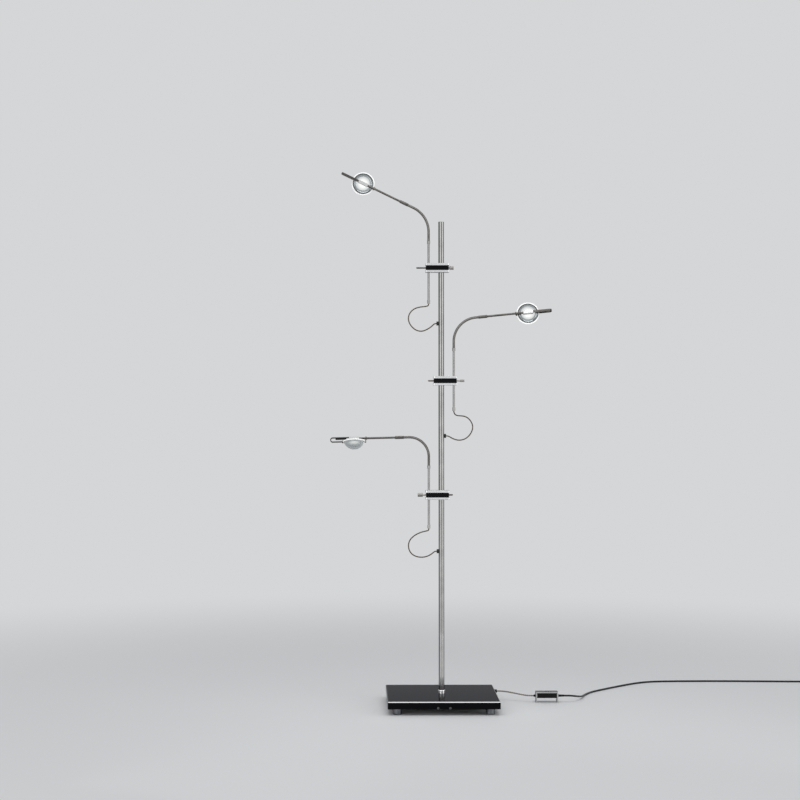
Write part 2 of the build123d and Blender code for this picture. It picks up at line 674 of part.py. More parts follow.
def make_head(arm):
    side = side_place(arm)
    look = lens_axis(arm)
    led_half = LED_LENGTH / 2
    half_strip = STRIP_THICK / 2
    bend = (LOOP_FRONT + LOOP_BACK) / 2
    turn = HEAD_LENGTH - LENS_ALONG - bend - half_strip
    loop_root = led_half - LED_GRIP + TOUCH_GAP
    jaw_back = LENS_RADIUS + TOUCH_GAP + JAW_WALL

    with BuildPart() as head_bar:
        bar_length = LENS_ALONG - led_half + LED_GRIP - TOUCH_GAP - FREE_GAP
        rod(bar_place(arm, FREE_GAP), BAR_RADIUS, bar_length)
        rod(bar_place(arm, -SPIGOT_LENGTH), SPIGOT_RADIUS, SPIGOT_LENGTH + FREE_GAP)
        collar = bar_place(arm, LENS_ALONG - jaw_back - CLIP_COLLAR_LENGTH / 2)
        rod(collar, CLIP_COLLAR_RADIUS, CLIP_COLLAR_LENGTH)
        with BuildSketch(side):
            jaw(-1)
            with Locations((-jaw_back + JAW_WALL / 2, LENS_SEAT / 2)):
                Rectangle(JAW_WALL, LENS_SEAT)
        extrude(amount=STRIP_WIDTH / 2, both=True)
        with BuildSketch(side):
            with BuildLine():
                Line((loop_root, -LOOP_BACK - half_strip), (turn, -LOOP_BACK - half_strip))
                ThreePointArc(
                    (turn, -LOOP_BACK - half_strip),
                    (turn + bend + half_strip, LOOP_FRONT - bend),
                    (turn, LOOP_FRONT + half_strip),
                )
                Polyline(
                    (turn, LOOP_FRONT + half_strip),
                    (jaw_back - JAW_WALL, LOOP_FRONT + half_strip),
                    (jaw_back - JAW_WALL, LOOP_FRONT - half_strip),
                    (turn, LOOP_FRONT - half_strip),
                )
                ThreePointArc(
                    (turn, LOOP_FRONT - half_strip),
                    (turn + bend - half_strip, LOOP_FRONT - bend),
                    (turn, half_strip - LOOP_BACK),
                )
                Polyline(
                    (turn, half_strip - LOOP_BACK),
                    (loop_root, half_strip - LOOP_BACK),
                    (loop_root, -LOOP_BACK - half_strip),
                )
            make_face()
            jaw(1)
        extrude(amount=STRIP_WIDTH / 2, both=True)
    save(head_bar.part, f"{arm.name}_head_bar")

    with BuildPart() as head_grip:
        grip_back = half_strip - LOOP_BACK + TOUCH_GAP
        with BuildSketch(side):
            with Locations((GRIP_START + GRIP_LENGTH / 2, grip_back + GRIP_THICK / 2)):
                Rectangle(GRIP_LENGTH, GRIP_THICK)
        extrude(amount=GRIP_WIDTH / 2, both=True)
    save(head_grip.part, f"{arm.name}_head_grip")

    with BuildPart() as led_module:
        with BuildSketch(side):
            with Locations((0, (LED_FRONT - LED_BACK) / 2)):
                RectangleRounded(LED_LENGTH, LED_FRONT + LED_BACK, LED_ROUND)
        extrude(amount=LED_WIDTH / 2, both=True)
        bar_hole = bar_place(arm, LENS_ALONG - led_half)
        rod(bar_hole, BAR_RADIUS + TOUCH_GAP, LED_GRIP, Mode.SUBTRACT)
        with BuildSketch(side):
            with Locations((led_half, -LOOP_BACK)):
                Rectangle(2 * LED_GRIP, STRIP_THICK + 2 * TOUCH_GAP)
        extrude(amount=STRIP_WIDTH / 2 + TOUCH_GAP, both=True, mode=Mode.SUBTRACT)
        front = Plane(side.origin + look * LED_FRONT, x_dir=side.x_dir, z_dir=look)
        rod(front, EMITTER_RADIUS, LENS_SEAT - LED_FRONT - 2 * TOUCH_GAP)
    save(led_module.part, f"{arm.name}_led_module")

    with BuildPart() as lens:
        sphere = (DOME_RADIUS**2 + DOME_HEIGHT**2) / (2 * DOME_HEIGHT)
        rim_top = LENS_SEAT + LENS_RIM
        crown = rim_top + DOME_HEIGHT
        half_angle = math.acos((sphere - DOME_HEIGHT) / sphere) / 2
        shoulder = (sphere * math.sin(half_angle), crown - sphere * (1 - math.cos(half_angle)))
        with BuildSketch(side):
            with BuildLine():
                Polyline((0, crown), (0, LENS_SEAT), (LENS_RADIUS, LENS_SEAT))
                Polyline((LENS_RADIUS, LENS_SEAT), (LENS_RADIUS, rim_top), (DOME_RADIUS, rim_top))
                ThreePointArc((DOME_RADIUS, rim_top), shoulder, (0, crown))
            make_face()
        revolve(axis=Axis(side.origin, look))
    save(lens.part, f"{arm.name}_lens")


# Driver box


def make_driver():
    core_width = BOX_WIDTH - 2 * BOX_WALL - 2 * TOUCH_GAP
    core_top = BOX_HEIGHT - BOX_WALL - TOUCH_GAP
    button_bottom = core_top - FREE_GAP - BUTTON_FLANGE_THICK
    well_radius = BUTTON_RADIUS + BUTTON_FLANGE + FREE_GAP
    well_bottom = button_bottom - BUTTON_TRAVEL - FREE_GAP
    left_end = facing((BOX_X - BOX_WIDTH / 2 - RELIEF_REACH, BOX_Y, RELIEF_HEIGHT), (1, 0, 0))

    with BuildPart() as driver_shell:
        with BuildSketch(level(0)):
            with Locations((BOX_X, BOX_Y)):
                Rectangle(BOX_WIDTH, BOX_DEPTH)
        extrude(amount=BOX_HEIGHT)
        top_edges = driver_shell.faces().sort_by(Axis.Z)[-1].edges().filter_by(Axis.Y)
        fillet(top_edges, BOX_CORNER)
        with BuildSketch(level(0)):
            with Locations((BOX_X, BOX_Y)):
                Rectangle(BOX_WIDTH - 2 * BOX_WALL, BOX_DEPTH)
        extrude(amount=BOX_HEIGHT - BOX_WALL, mode=Mode.SUBTRACT)
        rod(left_end, RELIEF_RADIUS + TOUCH_GAP, BOX_WIDTH + 2 * RELIEF_REACH, Mode.SUBTRACT)
        with BuildSketch(level(0)):
            with Locations((BOX_X, BOX_Y)):
                Rectangle(BOX_WIDTH, 2 * (RELIEF_RADIUS + TOUCH_GAP))
        extrude(amount=RELIEF_HEIGHT, mode=Mode.SUBTRACT)
        rod(level(0, BOX_X, BOX_Y), BUTTON_RADIUS + FREE_GAP, BOX_HEIGHT, Mode.SUBTRACT)
    save(driver_shell.part, "driver_shell")

    with BuildPart() as driver_core:
        with BuildSketch(level(CORE_LIFT)):
            with Locations((BOX_X, BOX_Y)):
                Rectangle(core_width, BOX_DEPTH - 2 * CORE_RECESS)
        extrude(amount=core_top - CORE_LIFT)
        rod(left_end, RELIEF_RADIUS, RELIEF_REACH + BOX_WIDTH)
        with Locations(left_end.offset(RELIEF_REACH + BOX_WIDTH)):
            Cone(RELIEF_RADIUS, MAINS_RELIEF_TIP, MAINS_RELIEF_LENGTH, align=FROM_START)
        rod(level(well_bottom, BOX_X, BOX_Y), well_radius, BOX_HEIGHT, Mode.SUBTRACT)
    save(driver_core.part, "driver_core")

    with BuildPart() as driver_button:
        rod(level(button_bottom, BOX_X, BOX_Y), BUTTON_RADIUS + BUTTON_FLANGE, BUTTON_FLANGE_THICK)
        rod(level(button_bottom, BOX_X, BOX_Y), BUTTON_RADIUS, BOX_HEIGHT + BUTTON_RISE - button_bottom)
        chamfer(driver_button.faces().sort_by(Axis.Z)[-1].edges(), BUTTON_RISE / 2)
    save(driver_button.part, "driver_button")


# Cords


def arc_radii(route):
    """The radius at each corner of a route, as large as the runs beside it allow."""
    radii = []
    for before, corner, after in zip(route, route[1:], route[2:]):
        arrive = corner - before
        leave = after - corner
        half_turn = math.radians(arrive.get_angle(leave)) / 2
        radii.append(ARC_SHARE * min(arrive.length, leave.length) / math.tan(half_turn))
    return radii


def report_tube(name, tube, path, radius, least):
    """Prints a tube's length, its tightest arc, and its volume over its section times its length."""
    share = tube.volume / (math.pi * radius**2 * path.length)
    print(f"{name}: length {path.length:.1f}, tightest radius {least:.1f}, volume share {share:.4f}")


def cable_route(arm):
    """The route of an arm's cable, from the gland below its tube to its grommet in the pole."""
    gland_end = -FREE_GAP - GLAND_FLOOR
    leave = [(ARM_OFFSET, gland_end), (ARM_OFFSET, gland_end - CABLE_EXIT)]
    arrive = [(GROMMET_REACH + CABLE_ENTRY, -arm.grommet_drop), (GROMMET_REACH, -arm.grommet_drop)]
    return [(arm.side * out, 0, arm.tube_bottom + up) for out, up in leave + arm.cable + arrive]


def make_cord(name, points, radius):
    route = [Vector(*point) for point in points]
    radii = arc_radii(route)
    with BuildPart() as cord:
        with BuildLine():
            path = FilletPolyline(*route, radius=radii)
        with BuildSketch(Plane(path @ 0, z_dir=path % 0)):
            Circle(radius)
        sweep(path=path)
    report_tube(name, cord.part, path, radius, min(radii))
    save(cord.part, name)


def coil_path():
    """Half turns that spiral in on the floor, climb a layer in the innermost one, and spiral out on top."""
    step = 2 * MAINS_RADIUS + COIL_GAP
    point = Vector(COIL_X, COIL_Y, MAINS_RADIUS)
    heading = 1
    radius = COIL_OUTER
    with BuildLine() as path:
        Line(point - Vector(2 * MAINS_RADIUS, 0, 0), point)
        for half_turn in range(HALF_TURNS_IN + 1 + HALF_TURNS_OUT):
            rise = step if half_turn == HALF_TURNS_IN else 0
            bulge = math.sqrt(radius**2 + rise**2 / 4)
            side_point = point + Vector(heading * bulge, heading * radius, rise / 2)
            end = point + Vector(0, heading * 2 * radius, rise)
            quarter = TangentArc(point, side_point, tangent=(heading, 0, 0))
            TangentArc(side_point, end, tangent=quarter % 1)
            point = end
            heading = -heading
            radius += step / 2 if half_turn >= HALF_TURNS_IN else -step / 2
        Line(point, point + Vector(COIL_TAIL, 0, 0))
    return path.wire()


def least_gap(path, radius):
    """The least clear space between stretches of a wound tube that are far apart along it."""
    count = int(path.length / radius)
    points = [path.position_at(i / count) for i in range(count + 1)]
    apart = 6
    nearest = min(
        (points[i] - points[j]).length
        for i in range(count + 1)
        for j in range(i + apart, count + 1)
    )
    return nearest - 2 * radius


def make_coil():
    path = coil_path()
    with BuildPart() as mains_coil:
        with BuildSketch(Plane(path @ 0, z_dir=path % 0)):
            Circle(MAINS_RADIUS)
        sweep(path=path)
    least = COIL_OUTER - HALF_TURNS_IN * (2 * MAINS_RADIUS + COIL_GAP) / 2
    report_tube("mains_coil", mains_coil.part, path, MAINS_RADIUS, least)
    print(f"mains_coil: least gap to itself {least_gap(path, MAINS_RADIUS):.2f}")
    save(mains_coil.part, "mains_coil")


def make_plug():
    height = 3 * MAINS_RADIUS + COIL_GAP
    cord_end = Vector(COIL_X + COIL_TAIL, COIL_Y, height)
    half_height = height - TOUCH_GAP
    with BuildPart() as mains_plug:
        body_start = cord_end + Vector(PLUG_NECK_LENGTH, 0, 0)
        with BuildSketch(facing(body_start, (1, 0, 0))):
            RectangleRounded(PLUG_WIDTH, 2 * half_height, PLUG_ROUND)
        extrude(amount=PLUG_LENGTH)
        rod(facing(cord_end, (1, 0, 0)), PLUG_NECK_RADIUS, PLUG_NECK_LENGTH)
        for y in (-PIN_SPACING / 2, PIN_SPACING / 2):
            pin = facing(body_start + Vector(PLUG_LENGTH, y, 0), (1, 0, 0))
            rod(pin, PIN_RADIUS, PIN_LENGTH)
    save(mains_plug.part, "mains_plug")


make_base()
make_pole()
for arm in ARMS:
    make_clamp(arm)
    make_arm(arm)
    make_head(arm)
    make_cord(f"{arm.name}_cable", cable_route(arm), CABLE_RADIUS)
make_driver()
make_cord("supply_cord", SUPPLY_ROUTE, SUPPLY_RADIUS)
make_cord("mains_cord", MAINS_ROUTE, MAINS_RADIUS)
make_coil()
make_plug()
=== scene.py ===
import math

import bpy
from mathutils import Matrix, Vector


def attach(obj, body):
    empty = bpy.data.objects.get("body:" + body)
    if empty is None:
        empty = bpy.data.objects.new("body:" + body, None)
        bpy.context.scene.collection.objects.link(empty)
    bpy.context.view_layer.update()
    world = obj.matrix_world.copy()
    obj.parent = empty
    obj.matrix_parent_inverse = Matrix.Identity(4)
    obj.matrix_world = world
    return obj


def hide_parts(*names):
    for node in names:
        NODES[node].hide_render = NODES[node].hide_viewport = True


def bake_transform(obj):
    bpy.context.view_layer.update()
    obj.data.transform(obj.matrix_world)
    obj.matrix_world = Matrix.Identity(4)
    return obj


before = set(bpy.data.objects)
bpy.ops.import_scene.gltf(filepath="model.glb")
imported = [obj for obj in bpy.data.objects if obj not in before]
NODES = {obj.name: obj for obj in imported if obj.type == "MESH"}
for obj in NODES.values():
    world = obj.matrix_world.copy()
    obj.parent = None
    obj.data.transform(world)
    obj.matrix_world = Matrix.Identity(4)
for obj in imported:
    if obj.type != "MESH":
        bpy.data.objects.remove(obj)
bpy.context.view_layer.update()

# Projection floor lamp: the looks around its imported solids. Metres, +Z up, +Y away from the camera.
MM = 0.001

# Camera, from the photograph's perspective
FRAME_SIDE = 800
FOCAL_PIXELS = 1852
SENSOR = 36.0
AXIS_PIXEL = 353
CAMERA_PLACE = (-0.2816, -5.908, 0.978)
CAMERA_ROLL = 0.06  # degrees

# Sizes shared with the solids, in millimetres
ARM_OFFSET = 40
TUBE_LENGTH = 194
TUBE_RADIUS = 3.5
NECK_LENGTH = 148
NECK_RADIUS = 4
FERRULE_RADIUS = 4.8
LOW_FERRULE_LENGTH = 10
HIGH_FERRULE_LENGTH = 28
SPIGOT_BORE = 2.55
SPIGOT_DEPTH = 15
LENS_ALONG = 131
LENS_SEAT = 8.5
LENS_RADIUS = 36.5
LENS_RIM = 3
DOME_RADIUS = 33
DOME_HEIGHT = 24
CABLE_RADIUS = 1.9
CABLE_EXIT = 4.4
CABLE_ENTRY = 6.5
GLAND_REACH = 2
GROMMET_REACH = 15
SUPPLY_RADIUS = 2.6
MAINS_RADIUS = 3
COIL_X = 1328
COIL_Y = 496
COIL_STEP = 6.6
COIL_OUTER = 36.3
HALF_TURNS_IN = 4
HALF_TURNS_OUT = 3
COIL_TAIL = 26
PLUG_PIN_START = 1402
SCREW_SPACING = 38
SCREW_FACE = -176.8
SCREW_HEIGHT = 23.6

# Detail sizes of the new pieces, in millimetres
RIB_PITCH = 2.2
RIB_DEPTH = 0.35
NECK_OVERLAP = 1  # of the neck's ends into the ferrules
EDGE = 0.5  # chamfer of the ferrules
FINE_EDGE = 0.4  # chamfer of the tube and of the lens rim
FERRULE_GROOVE = 0.35
GROOVE_PLACE = 4
GROOVE_WIDTH = 1.2
FLAT_INNER = 1  # smallest ring on the lens's flat face
FLAT_RING_INNER = 30.8  # dark ring on the lens's flat face
CHIP_RADIUS = 3.4
CHIP_GAP = 0.06
CHIP_THICK = 0.1
CHIP_EDGE = 0.2
STRAND_RADIUS = 1.28
STRAND_LAY = 13
HEX_RADIUS = 1.7
HEX_DEPTH = 0.15
HEX_EDGE = 0.1
HEX_EDGE_START = 0.02  # in front of the screw's face
HEX_FRONT = 0.05
TIE_WIDTH = 9
TIE_THICK = 0.8
TIE_GAP = 0.05  # between the strap's layers

# Counts of pieces, sides and steps
NECK_PIECES = 3
CABLE_RUNS = 3
RIB_STEPS = 8  # for each rib
FLAT_STEPS = 8
DOME_STEPS = 40
COIL_POINTS = 8  # for each half turn
TIE_STEPS = 8  # round each corner
TUBE_SIDES = 24
CABLE_SIDES = 16
STRAND_SIDES = 12
LATHE_SIDES = 64
LENS_SIDES = 128
CHIP_SIDES = 48
HEX_SIDES = 6
STRAP_SIDES = 4
CABLE_STEPS = 12  # of a smooth line, between two of its route's points
SUPPLY_STEPS = 24
MAINS_STEPS = 10
MAINS_ROUNDNESS = 6
SPLINE_ORDER = 3
LATHE_SHARP = 35  # degrees above which an edge is sharp
TUBE_SHARP = 50

# Each arm, in millimetres and degrees: its side of the pole, its tube's lower end, its neck's first straight,
# bend radius and turn, its head's roll, its grommet's drop, the reach of the painted glow in its lens, and
# its cable's route between gland and grommet, out from the pole's axis and up from the tube's lower end
ARMS = {
    "top": {
        "side": -1, "tube_bottom": 1287, "first": 33, "radius": 85, "turn": 64, "roll": 0,
        "grommet_drop": 65.3, "glow_reach": 24,
        "cable": [
            (43.6, -9.6), (52.6, -11.2), (66, -12.4), (79.5, -15.4), (91, -21.8), (99.8, -31.2),
            (104.6, -43.4), (104.4, -56), (99.6, -68), (91, -78.8), (79.5, -87), (66, -90.4),
            (52.5, -87.8), (39.5, -81), (28.6, -73),
        ],
    },
    "middle": {
        "side": 1, "tube_bottom": 945, "first": 25, "radius": 77, "turn": 84.4, "roll": -18,
        "grommet_drop": 81.8, "glow_reach": 24,
        "cable": [
            (43.5, -13.5), (50.5, -17.1), (61, -17.8), (73, -18.8), (84, -23.8), (93.5, -33.5),
            (99.6, -45.5), (100.4, -58), (95.6, -71.8), (86, -84.4), (72.8, -93.2), (57, -96.1),
            (42.5, -93.2), (30.5, -87.2),
        ],
    },
    "lower": {
        "side": -1, "tube_bottom": 570, "first": 33, "radius": 62, "turn": 91.3, "roll": -105,
        "grommet_drop": 74.6, "glow_reach": 14,
        "cable": [
            (43.8, -9.2), (53, -11), (66, -14.4), (78.5, -20), (90, -27.4), (99.6, -37),
            (104.8, -49), (105.2, -62), (101.6, -74.5), (93.5, -84.6), (82, -91), (68.5, -93.8),
            (55, -93.4), (42.5, -89.8), (31, -83.2),
        ],
    },
}

# The cords' routes, from the base to the driver box and from the box to the coil, in millimetres
SUPPLY_ROUTE = [
    (186, 122, 30), (199, 122, 30), (216, 118.5, 28.8), (236, 110, 26.4), (256, 98.5, 23.8),
    (274, 88.5, 21.8), (289, 84, 21), (302, 84, 21),
]
MAINS_ROUTE = [
    (400, 84, 21), (413, 84, 21), (427.2, 89, 19.5), (441, 100.5, 16.5), (455, 123.5, 11.7),
    (466, 154.5, 7.2), (475, 188, 4), (487, 222, 3), (512, 272, 3), (553, 320, 3), (598, 370, 3),
    (644, 420, 3), (693, 466, 3), (747, 499, 3), (830, 506.5, 3), (916, 508.5, 3), (1002, 508, 3),
    (1088, 504.5, 3), (1172, 500.2, 3), (1252, 496, 3), (1322, 496, 3),
]


# Materials

EDGE_TINT = (0.25, 0.25, 0.25)  # of metal that is seen edge-on
PLATE_TINT = (0.25, 0.25, 0.26)  # of the base plate that is seen edge-on
RAMP_START = 0.3  # of a pattern, where its change of colour starts
RAMP_END = 0.7
SOFT_DETAIL = 2.0  # of a noise pattern
CLOUD_DETAIL = 3.0
STREAK_DETAIL = 4.0
GRAIN_DETAIL = 5.0
METAL_CLOUD = 35.0  # scale of the change of tone
COAT_CLOUD = 22.0
PLATE_CLOUD = 14.0
PLUG_CLOUD = 30.0
FLOOR_CLOUD = 6.0
PLATE_SMEAR = 90.0  # scale of the change of roughness
GLASS_SMEAR = 60.0
PLATE_GRAIN = 1200.0
PLUG_GRAIN = 1300.0
CHIP_GRAIN = 900.0
GRAIN_DEPTH = 0.0002
PLATE_GRAIN_DEPTH = 0.0001
PLATE_GRAIN_HEIGHT = 0.008
PLUG_GRAIN_HEIGHT = 0.1
PLATE_ROUGHNESS = (0.07, 0.15)
GLASS_ROUGHNESS = (0.0, 0.012)
# FAR_DOWN, BEVEL_LOWEST and BEVEL_HIGHEST use the normal to pick out the base plate's sides, painted darker
# as painted shade, and its bevel, painted bright as a painted highlight
FAR_DOWN = -2.0  # below any upward share of a surface's normal
BEVEL_LOWEST = 0.45  # upward share of the normal, on the base plate's bevel
BEVEL_HIGHEST = 0.9
FAR_RIGHT = 9.0  # beyond the plug's pins
GLASS_INDEX = 1.52
GLASS_DENSITY = 34.0
# The lens glass's glow is painted light: the glass emits light itself, though only the diode's chip is a lamp
GLASS_GLOW = 0.65
DOME_GLOW = 0.04  # share of the flat face's glow
RIM_GLOW = 0.24
CHIP_GLOW = (6.0, 9.0)
ALONG_Z = (1, 1, 0.02)
ALONG_X = (0.02, 1, 1)
EVEN = (1, 1, 1)


def new_material(name, colour, metallic=0.0, roughness=0.4):
    """A material with its shader's plain values set."""
    material = bpy.data.materials.new(name)
    material.use_nodes = True
    shader = material.node_tree.nodes["Principled BSDF"]
    shader.inputs["Base Color"].default_value = (*colour, 1)
    shader.inputs["Metallic"].default_value = metallic
    shader.inputs["Roughness"].default_value = roughness
    return material, shader


def noise(material, scale, detail, stretch=EVEN):
    """A noise pattern in the object's own metres, stretched by axis."""
    nodes = material.node_tree.nodes
    links = material.node_tree.links
    place = nodes.new("ShaderNodeTexCoord")
    mapping = nodes.new("ShaderNodeMapping")
    mapping.inputs["Scale"].default_value = stretch
    texture = nodes.new("ShaderNodeTexNoise")
    texture.inputs["Scale"].default_value = scale
    texture.inputs["Detail"].default_value = detail
    links.new(place.outputs["Object"], mapping.inputs["Vector"])
    links.new(mapping.outputs["Vector"], texture.inputs["Vector"])
    return texture.outputs["Fac"]


def ramp(material, value, low, high):
    """Turns a pattern into a colour between two colours."""
    blend = material.node_tree.nodes.new("ShaderNodeValToRGB")
    blend.color_ramp.elements[0].position = RAMP_START
    blend.color_ramp.elements[1].position = RAMP_END
    blend.color_ramp.elements[0].color = (*low, 1)
    blend.color_ramp.elements[1].color = (*high, 1)
    material.node_tree.links.new(value, blend.inputs["Fac"])
    return blend.outputs["Color"]


def vary(material, shader, socket, value, low, high):
    """Lets a pattern move a shader value between two limits."""
    spread = material.node_tree.nodes.new("ShaderNodeMapRange")
    spread.inputs["To Min"].default_value = low
    spread.inputs["To Max"].default_value = high
    material.node_tree.links.new(value, spread.inputs["Value"])
    material.node_tree.links.new(spread.outputs["Result"], shader.inputs[socket])


def bump(material, shader, value, strength, distance=GRAIN_DEPTH):
    """Raises the surface with a pattern."""
    node = material.node_tree.nodes.new("ShaderNodeBump")
    node.inputs["Strength"].default_value = strength
    node.inputs["Distance"].default_value = distance
    material.node_tree.links.new(value, node.inputs["Height"])
    material.node_tree.links.new(node.outputs["Normal"], shader.inputs["Normal"])


def between(material, value, low, high):
    """One where a value lies between two limits, and zero elsewhere."""
    nodes = material.node_tree.nodes
    links = material.node_tree.links
    above = nodes.new("ShaderNodeMath")
    above.operation = "GREATER_THAN"
    above.inputs[1].default_value = low
    below = nodes.new("ShaderNodeMath")
    below.operation = "LESS_THAN"
    below.inputs[1].default_value = high
    both = nodes.new("ShaderNodeMath")
    both.operation = "MULTIPLY"
    links.new(value, above.inputs[0])
    links.new(value, below.inputs[0])
    links.new(above.outputs[0], both.inputs[0])
    links.new(below.outputs[0], both.inputs[1])
    return both.outputs[0]


def choose_colour(material, mask, plain, special):
    """A colour output where the mask is zero, and a fixed colour where it is one."""
    mix = material.node_tree.nodes.new("ShaderNodeMix")
    mix.data_type = "RGBA"
    sockets = {socket.identifier: socket for socket in mix.inputs}
    material.node_tree.links.new(mask, sockets["Factor_Float"])
    material.node_tree.links.new(plain, sockets["A_Color"])
    sockets["B_Color"].default_value = (*special, 1)
    return next(socket for socket in mix.outputs if socket.identifier == "Result_Color")


def split(material, source, output, axis):
    """One component of a texture coordinate or of the surface's normal."""
    nodes = material.node_tree.nodes
    parts = nodes.new("ShaderNodeSeparateXYZ")
    material.node_tree.links.new(nodes.new(source).outputs[output], parts.inputs[0])
    return parts.outputs[axis]


def metal(name, dark, light, rough, stretch, grain=400.0, height=0.02):
    """Polished or drawn metal with fine streaks along one axis and a slight change of tone."""
    material, shader = new_material(name, light, metallic=1.0)
    streaks = noise(material, grain, STREAK_DETAIL, stretch)
    cloud = noise(material, METAL_CLOUD, SOFT_DETAIL)
    material.node_tree.links.new(ramp(material, cloud, dark, light), shader.inputs["Base Color"])
    vary(material, shader, "Roughness", streaks, *rough)
    bump(material, shader, streaks, height)
    shader.inputs["Specular Tint"].default_value = (*EDGE_TINT, 1)
    return material


def coated(name, dark, light, rough, grain, height, gloss=0.5):
    """Plastic, rubber or paint with a fine grain and a slight change of tone."""
    material, shader = new_material(name, light)
    grains = noise(material, grain, GRAIN_DETAIL)
    cloud = noise(material, COAT_CLOUD, CLOUD_DETAIL)
    material.node_tree.links.new(ramp(material, cloud, dark, light), shader.inputs["Base Color"])
    vary(material, shader, "Roughness", cloud, *rough)
    bump(material, shader, grains, height)
    shader.inputs["Specular IOR Level"].default_value = gloss
    return material


def black_mirror():
    """Black polished plate. Its bevel along the upper edge is painted bright, a painted highlight, and its
    sides are painted darker than its top, painted shade.
    """
    material, shader = new_material("black_gloss", (0.03, 0.03, 0.032), metallic=1.0)
    cloud = noise(material, PLATE_CLOUD, CLOUD_DETAIL)
    plain = ramp(material, cloud, (0.026, 0.027, 0.028), (0.036, 0.037, 0.039))
    upright = split(material, "ShaderNodeNewGeometry", "Normal", "Z")
    # the plate's sides, found by their normals, get a near-black colour: painted shade
    side = between(material, upright, FAR_DOWN, BEVEL_LOWEST)
    # the bevel, found by its upward-tilted normal, gets a bright colour: a painted highlight
    bevel = between(material, upright, BEVEL_LOWEST, BEVEL_HIGHEST)
    with_shaded_sides = choose_colour(material, side, plain, (0.008, 0.008, 0.009))
    colour = choose_colour(material, bevel, with_shaded_sides, (0.26, 0.26, 0.265))
    material.node_tree.links.new(colour, shader.inputs["Base Color"])
    shader.inputs["Specular Tint"].default_value = (*PLATE_TINT, 1)
    vary(material, shader, "Roughness", noise(material, PLATE_SMEAR, GRAIN_DETAIL), *PLATE_ROUGHNESS)
    grains = noise(material, PLATE_GRAIN, SOFT_DETAIL)
    bump(material, shader, grains, PLATE_GRAIN_HEIGHT, PLATE_GRAIN_DEPTH)
    return material


def plug_plastic():
    """Black moulded plastic, with bright metal pins beyond the plug's face."""
    material, shader = new_material("plug_plastic", (0.016, 0.016, 0.016), roughness=0.3)
    cloud = noise(material, PLUG_CLOUD, CLOUD_DETAIL)
    plain = ramp(material, cloud, (0.011, 0.011, 0.011), (0.018, 0.018, 0.018))
    along = split(material, "ShaderNodeTexCoord", "Object", "X")
    pins = between(material, along, PLUG_PIN_START * MM, FAR_RIGHT)
    colour = choose_colour(material, pins, plain, (0.72, 0.69, 0.6))
    material.node_tree.links.new(colour, shader.inputs["Base Color"])
    material.node_tree.links.new(pins, shader.inputs["Metallic"])
    bump(material, shader, noise(material, PLUG_GRAIN, GRAIN_DETAIL), PLUG_GRAIN_HEIGHT)
    return material


def clear_glass():
    """Clear heavy glass with a painted glow near its middle: the glass emits light itself, standing in for
    the light of the diode behind it.
    """
    material, shader = new_material("lens_glass", (0.97, 0.985, 0.985), roughness=0.0)
    shader.inputs["Transmission Weight"].default_value = 1.0
    shader.inputs["IOR"].default_value = GLASS_INDEX
    shader.inputs["Emission Color"].default_value = (1.0, 0.97, 0.92, 1)
    vary(material, shader, "Roughness", noise(material, GLASS_SMEAR, STREAK_DETAIL), *GLASS_ROUGHNESS)
    glow = material.node_tree.nodes.new("ShaderNodeAttribute")
    glow.attribute_name = "glow"
    vary(material, shader, "Emission Strength", glow.outputs["Fac"], 0.0, GLASS_GLOW)
    absorb = material.node_tree.nodes.new("ShaderNodeVolumeAbsorption")
    absorb.inputs["Color"].default_value = (0.6, 0.63, 0.64, 1)
    absorb.inputs["Density"].default_value = GLASS_DENSITY
    output = material.node_tree.nodes["Material Output"]
    material.node_tree.links.new(absorb.outputs[0], output.inputs["Volume"])
    return material


def rim_glass():
    """Ground glass with a faint painted glow of its own, standing in for the lens's light taken up in it."""
    material = coated("ground_glass", (0.82, 0.83, 0.83), (0.9, 0.905, 0.905), (0.35, 0.5), 1500.0, 0.1)
    shader = material.node_tree.nodes["Principled BSDF"]
    shader.inputs["Emission Color"].default_value = (1.0, 0.98, 0.95, 1)
    shader.inputs["Emission Strength"].default_value = RIM_GLOW
    return material


def lit_chip():
    """The diode's lit face."""
    warm_white = (1.0, 0.95, 0.86)
    material, shader = new_material("led_glow", warm_white)
    shader.inputs["Emission Color"].default_value = (*warm_white, 1)
    vary(material, shader, "Emission Strength", noise(material, CHIP_GRAIN, SOFT_DETAIL), *CHIP_GLOW)
    return material


# Metals: name, darkest and lightest colour, range of roughness, direction of the streaks
nickel_upright = metal("nickel_upright", (0.26, 0.258, 0.252), (0.32, 0.318, 0.31), (0.08, 0.13), ALONG_Z)
# nickel_level, for the head bars, lock screws and upper ferrules, is a darker copy of the pole's nickel:
# painted shade
nickel_level = metal("nickel_level", (0.1, 0.093, 0.085), (0.15, 0.14, 0.129), (0.16, 0.24), ALONG_X)
nickel_turned = metal(
    "nickel_turned", (0.28, 0.271, 0.257), (0.38, 0.369, 0.352), (0.18, 0.28), EVEN, grain=900.0,
)
# plate_metal, for the clamp plates and the pole collar, is a much lighter copy of the same nickel: painted
# highlight
plate_metal = metal(
    "plate_metal", (0.8, 0.805, 0.81), (0.9, 0.905, 0.91), (0.24, 0.34), ALONG_X, grain=500.0,
)
# neck_metal is a darker copy of the pole's nickel: painted shade
neck_metal = metal("neck_metal", (0.15, 0.142, 0.131), (0.21, 0.2, 0.186), (0.3, 0.4), EVEN, grain=700.0)
grey_metal = metal(
    "grey_metal", (0.12, 0.127, 0.138), (0.19, 0.198, 0.21), (0.3, 0.45), ALONG_Z, grain=500.0, height=0.08,
)
screw_steel = metal("screw_steel", (0.14, 0.14, 0.14), (0.2, 0.2, 0.2), (0.22, 0.36), EVEN, grain=900.0)
box_metal = metal(
    "box_metal", (0.5, 0.5, 0.496), (0.6, 0.6, 0.595), (0.22, 0.34), ALONG_X, grain=500.0, height=0.06,
)
led_metal = metal("led_metal", (0.6, 0.6, 0.595), (0.7, 0.7, 0.695), (0.25, 0.4), EVEN, grain=600.0)

